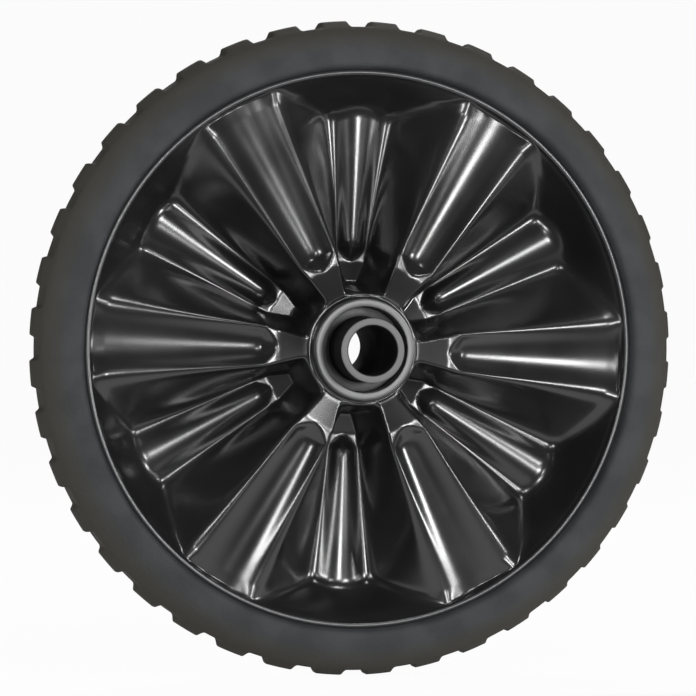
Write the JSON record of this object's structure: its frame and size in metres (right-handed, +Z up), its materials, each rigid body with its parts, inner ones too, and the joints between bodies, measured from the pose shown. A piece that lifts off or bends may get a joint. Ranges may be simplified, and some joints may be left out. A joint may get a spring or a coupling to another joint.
{
  "type": "hand truck wheel",
  "caption": "Hand truck wheel with a notched solid rubber tyre, a pleated plastic disc centre and a roller bearing hub that turns on a plain axle sleeve.",
  "frame": {"origin": "centre of the wheel, on the axle's axis midway between the sleeve's ends", "axes": "+Y along the axle towards the rear face, the pictured face towards -Y, +Z up"},
  "size_m": [0.254, 0.0636, 0.254],
  "materials": {
    "tyre_rubber": "matt moulded rubber",
    "centre_plastic": "smooth black moulding",
    "sleeve_metal": "satin black",
    "washer_metal": "satin black",
    "cage_plastic": "matt black",
    "roller_steel": "ground"
  },
  "bodies": {
    "axle_sleeve": {"axle_sleeve": "sleeve_metal"},
    "wheel": {"tyre": "tyre_rubber", "wheel_centre": "centre_plastic", "retaining_washer_front": "washer_metal", "retaining_washer_rear": "washer_metal"},
    "cage": {"roller_cage": "cage_plastic"},
    "roller_01": {"roller_01": "roller_steel"},
    "roller_02": {"roller_02": "roller_steel"},
    "roller_03": {"roller_03": "roller_steel"},
    "roller_04": {"roller_04": "roller_steel"},
    "roller_05": {"roller_05": "roller_steel"},
    "roller_06": {"roller_06": "roller_steel"},
    "roller_07": {"roller_07": "roller_steel"},
    "roller_08": {"roller_08": "roller_steel"},
    "roller_09": {"roller_09": "roller_steel"},
    "roller_10": {"roller_10": "roller_steel"},
    "roller_11": {"roller_11": "roller_steel"},
    "roller_12": {"roller_12": "roller_steel"}
  },
  "joints": [
    {"name": "wheel_spin", "type": "hinge", "parent": "axle_sleeve", "child": "wheel", "pos_m": [0, 0, 0], "axis": [0, 1, 0], "continuous": true},
    {"name": "cage_spin", "type": "hinge", "parent": "axle_sleeve", "child": "cage", "pos_m": [0, 0, 0], "axis": [0, 1, 0], "continuous": true},
    {"name": "roller_01_spin", "type": "hinge", "parent": "cage", "child": "roller_01", "pos_m": [0.0145, 0, 0], "axis": [0, 1, 0], "continuous": true},
    {"name": "roller_02_spin", "type": "hinge", "parent": "cage", "child": "roller_02", "pos_m": [0.01256, 0, 0.00725], "axis": [0, 1, 0], "continuous": true},
    {"name": "roller_03_spin", "type": "hinge", "parent": "cage", "child": "roller_03", "pos_m": [0.00725, 0, 0.01256], "axis": [0, 1, 0], "continuous": true},
    {"name": "roller_04_spin", "type": "hinge", "parent": "cage", "child": "roller_04", "pos_m": [0, 0, 0.0145], "axis": [0, 1, 0], "continuous": true},
    {"name": "roller_05_spin", "type": "hinge", "parent": "cage", "child": "roller_05", "pos_m": [-0.00725, 0, 0.01256], "axis": [0, 1, 0], "continuous": true},
    {"name": "roller_06_spin", "type": "hinge", "parent": "cage", "child": "roller_06", "pos_m": [-0.01256, 0, 0.00725], "axis": [0, 1, 0], "continuous": true},
    {"name": "roller_07_spin", "type": "hinge", "parent": "cage", "child": "roller_07", "pos_m": [-0.0145, 0, 0], "axis": [0, 1, 0], "continuous": true},
    {"name": "roller_08_spin", "type": "hinge", "parent": "cage", "child": "roller_08", "pos_m": [-0.01256, 0, -0.00725], "axis": [0, 1, 0], "continuous": true},
    {"name": "roller_09_spin", "type": "hinge", "parent": "cage", "child": "roller_09", "pos_m": [-0.00725, 0, -0.01256], "axis": [0, 1, 0], "continuous": true},
    {"name": "roller_10_spin", "type": "hinge", "parent": "cage", "child": "roller_10", "pos_m": [0, 0, -0.0145], "axis": [0, 1, 0], "continuous": true},
    {"name": "roller_11_spin", "type": "hinge", "parent": "cage", "child": "roller_11", "pos_m": [0.00725, 0, -0.01256], "axis": [0, 1, 0], "continuous": true},
    {"name": "roller_12_spin", "type": "hinge", "parent": "cage", "child": "roller_12", "pos_m": [0.01256, 0, -0.00725], "axis": [0, 1, 0], "continuous": true}
  ],
  "couplings": [
    {"joint": "cage_spin", "follows": "wheel_spin", "ratio": 0.56897},
    {"joint": "roller_01_spin", "follows": "wheel_spin", "ratio": 3.556},
    {"joint": "roller_02_spin", "follows": "wheel_spin", "ratio": 3.556},
    {"joint": "roller_03_spin", "follows": "wheel_spin", "ratio": 3.556},
    {"joint": "roller_04_spin", "follows": "wheel_spin", "ratio": 3.556},
    {"joint": "roller_05_spin", "follows": "wheel_spin", "ratio": 3.556},
    {"joint": "roller_06_spin", "follows": "wheel_spin", "ratio": 3.556},
    {"joint": "roller_07_spin", "follows": "wheel_spin", "ratio": 3.556},
    {"joint": "roller_08_spin", "follows": "wheel_spin", "ratio": 3.556},
    {"joint": "roller_09_spin", "follows": "wheel_spin", "ratio": 3.556},
    {"joint": "roller_10_spin", "follows": "wheel_spin", "ratio": 3.556},
    {"joint": "roller_11_spin", "follows": "wheel_spin", "ratio": 3.556},
    {"joint": "roller_12_spin", "follows": "wheel_spin", "ratio": 3.556}
  ]
}
